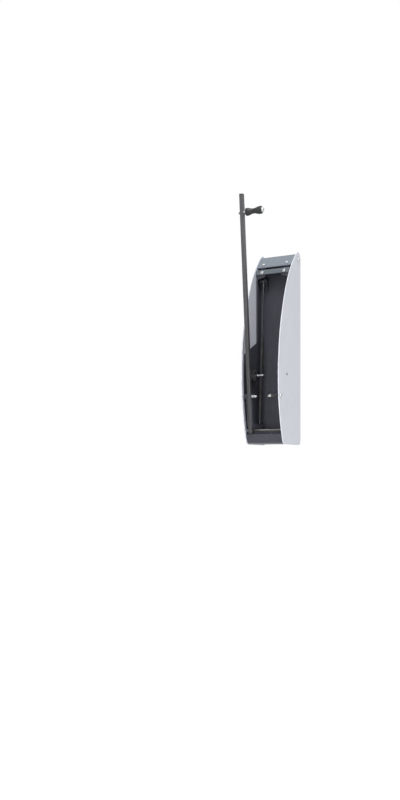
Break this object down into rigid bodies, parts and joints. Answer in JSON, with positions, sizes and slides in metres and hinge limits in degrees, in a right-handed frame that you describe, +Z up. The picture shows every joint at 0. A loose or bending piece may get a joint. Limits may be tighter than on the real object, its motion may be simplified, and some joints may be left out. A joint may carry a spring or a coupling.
{
  "type": "vertical bike rack",
  "caption": "Wall-mounted vertical bike rack: curved side panels round an open wheel channel, and a gas-strut lift arm with a roller hook that swings down and back up.",
  "frame": {"origin": "middle of the wall face: on the back of the wall channel, centred across, half way up the housing", "axes": "+X across to the right seen from the room, +Y into the wall, +Z up"},
  "size_m": [0.1708, 0.3214, 0.973],
  "materials": {
    "panel_paint": "fine powder coat, satin",
    "dark_paint": "anthracite powder coat, satin",
    "cover_paint": "slate grey powder coat, satin",
    "arm_paint": "grey powder coat, satin",
    "zinc": "bright zinc plate",
    "chrome": "polished",
    "black_plastic": "fine grained black",
    "rubber": "moulded"
  },
  "bodies": {
    "root": {"wall_channel": "dark_paint", "front_channel": "dark_paint", "channel_floor": "dark_paint", "upper_crossbar": "cover_paint", "top_cover": "cover_paint", "bottom_cover": "dark_paint", "left_side_panel": "panel_paint", "left_panel_bolt": "zinc", "left_panel_nut": "zinc", "left_crossbar_bolt": "zinc", "left_crossbar_nut": "zinc", "left_cover_bracket": "dark_paint", "left_cover_bolt": "zinc", "left_cover_nut": "zinc", "left_bottom_clip": "dark_paint", "left_bottom_screw": "zinc", "right_side_panel": "panel_paint", "right_panel_bolt": "zinc", "right_panel_nut": "zinc", "right_crossbar_bolt": "zinc", "right_crossbar_nut": "zinc", "right_cover_bracket": "dark_paint", "right_cover_bolt": "zinc", "right_cover_nut": "zinc", "right_bottom_clip": "dark_paint", "right_bottom_screw": "zinc", "left_pivot_bolt": "zinc", "left_pivot_bush": "black_plastic", "left_pivot_nut": "zinc", "right_pivot_bolt": "zinc", "right_pivot_spacer": "black_plastic", "right_pivot_nut": "zinc", "stop_bolt": "zinc", "stop_disc": "rubber", "stop_nut": "zinc", "strut_anchor_bracket": "zinc", "strut_anchor_pin": "zinc"},
    "arm": {"lift_arm": "arm_paint", "arm_top_cap": "black_plastic", "arm_tail_cap": "black_plastic", "arm_pivot_sleeve": "zinc", "left_crank_plate": "dark_paint", "right_crank_plate": "dark_paint", "left_crank_pin": "zinc", "right_crank_pin": "zinc", "hook_bolt": "zinc", "hook_washer": "zinc", "hook_nut": "zinc"},
    "hook_roller": {"hook_roller": "black_plastic"},
    "strut_rod": {"strut_rod": "chrome", "strut_rod_eye": "zinc"},
    "strut_cylinder": {"strut_cylinder": "black_plastic", "strut_gland": "black_plastic", "strut_lower_eye": "zinc"}
  },
  "joints": [
    {"name": "arm_swing", "type": "hinge", "parent": "root", "child": "arm", "pos_m": [0, -0.232, -0.2085], "axis": [1, 0, 0], "range_deg": [0, 85], "stiffness_Nm_per_rad": 15, "springref_deg": -57.3},
    {"name": "hook_roller_spin", "type": "hinge", "parent": "arm", "child": "hook_roller", "pos_m": [0, -0.30428, 0.50304], "axis": [1, 0, 0], "continuous": true},
    {"name": "strut_swing", "type": "hinge", "parent": "root", "child": "strut_rod", "pos_m": [-0.051, -0.08568, 0.279], "axis": [1, 0, 0], "range_deg": [0, 0.928]},
    {"name": "strut_slide", "type": "slide", "parent": "strut_rod", "child": "strut_cylinder", "axis": [0, 0.0699, 0.9976], "range_m": [0, 0.2109]}
  ],
  "couplings": [
    {"joint": "strut_swing", "follows": "arm_swing", "ratio": 0.010923},
    {"joint": "strut_slide", "follows": "arm_swing", "m_per_rad": 0.14214}
  ]
}
